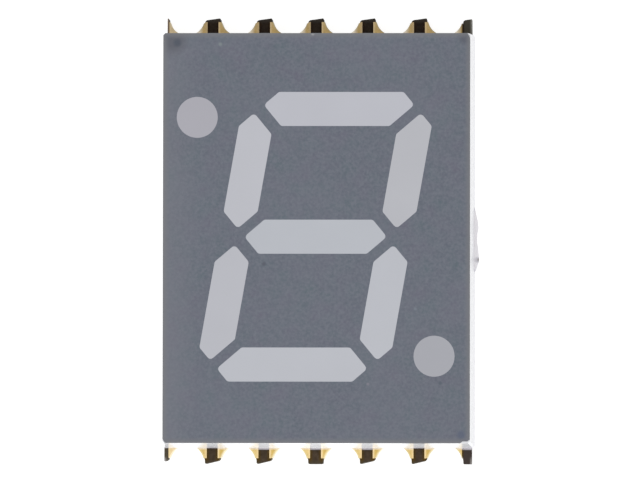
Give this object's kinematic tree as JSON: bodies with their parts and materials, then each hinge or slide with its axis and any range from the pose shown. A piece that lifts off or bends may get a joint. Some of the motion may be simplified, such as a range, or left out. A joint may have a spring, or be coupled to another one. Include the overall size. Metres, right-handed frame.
{
  "type": "seven segment display",
  "caption": "Surface-mount numeric display with slanted segments and two round points in a grey face, on a board with half-hole solder contacts.",
  "frame": {"origin": "centre of the display's outline, in the plane of the solder pads that it rests on", "axes": "+Z out of the lit face, +Y to the top of the digit along the longer side, +X to the digit's right"},
  "size_m": [0.0077, 0.011, 0.0031],
  "materials": {
    "laminate": "black glass-epoxy laminate",
    "solder_mask": "satin black solder mask",
    "housing": "glossy white moulded plastic",
    "face_print": "matt grey screen print",
    "resin": "satin milky cast resin",
    "gold_plating": "gold-plated copper",
    "chip": "semiconductor crystal",
    "bond_wire": "gold wire",
    "chip_glue": "silver-filled glue"
  },
  "bodies": {
    "root": {"board_laminate": "laminate", "solder_mask_front": "solder_mask", "solder_mask_back": "solder_mask", "reflector_housing": "housing", "printed_face": "face_print", "chip_glue": "chip_glue", "common_conductor": "gold_plating", "segment_a_conductor": "gold_plating", "segment_b_conductor": "gold_plating", "segment_c_conductor": "gold_plating", "segment_d_conductor": "gold_plating", "segment_e_conductor": "gold_plating", "segment_f_conductor": "gold_plating", "segment_g_conductor": "gold_plating", "upper_left_point_conductor": "gold_plating", "lower_right_point_conductor": "gold_plating", "segment_a_chip": "chip", "segment_b_chip": "chip", "segment_c_chip": "chip", "segment_d_chip": "chip", "segment_e_chip": "chip", "segment_f_chip": "chip", "segment_g_chip": "chip", "upper_left_point_chip": "chip", "lower_right_point_chip": "chip", "segment_a_wire": "bond_wire", "segment_b_wire": "bond_wire", "segment_c_wire": "bond_wire", "segment_d_wire": "bond_wire", "segment_e_wire": "bond_wire", "segment_f_wire": "bond_wire", "segment_g_wire": "bond_wire", "upper_left_point_wire": "bond_wire", "lower_right_point_wire": "bond_wire", "segment_a_resin": "resin", "segment_b_resin": "resin", "segment_c_resin": "resin", "segment_d_resin": "resin", "segment_e_resin": "resin", "segment_f_resin": "resin", "segment_g_resin": "resin", "upper_left_point_resin": "resin", "lower_right_point_resin": "resin"}
  },
  "joints": []
}
